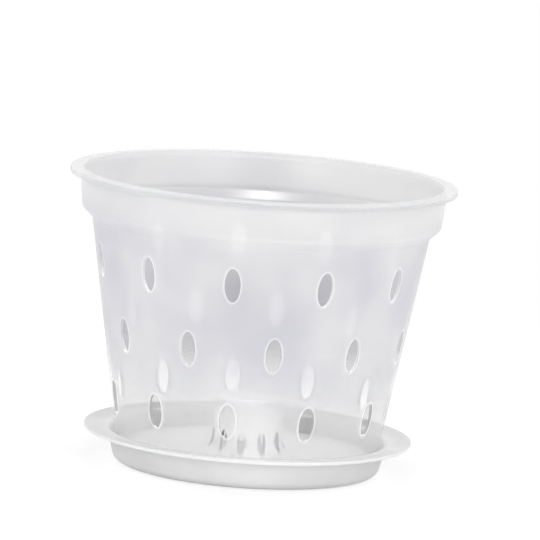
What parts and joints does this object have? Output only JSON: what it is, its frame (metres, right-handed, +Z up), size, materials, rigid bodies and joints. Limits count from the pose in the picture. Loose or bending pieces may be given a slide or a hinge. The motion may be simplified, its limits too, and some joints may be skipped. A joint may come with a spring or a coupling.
{
  "type": "orchid pot with saucer",
  "caption": "Clear tapered orchid pot with air slots in its wall and a slotted air cone in its floor, standing in a shallow broad-brimmed saucer.",
  "frame": {"origin": "centre of the saucer's underside, on the pot's axis", "axes": "+Z up along the pot's axis, -Y towards the front of the pot"},
  "size_m": [0.15, 0.15, 0.1135],
  "materials": {
    "clear_plastic": "thin milky-clear moulded plastic, smooth and softly glossy",
    "milky_plastic": "thin milky moulded plastic, satin"
  },
  "bodies": {
    "saucer": {"saucer": "milky_plastic"},
    "pot": {"pot_shell": "clear_plastic", "pot_floor": "clear_plastic"}
  },
  "joints": [
    {"name": "pot_lift", "type": "slide", "parent": "saucer", "child": "pot", "axis": [0, 0, 1], "range_m": [0, 0.035]}
  ]
}
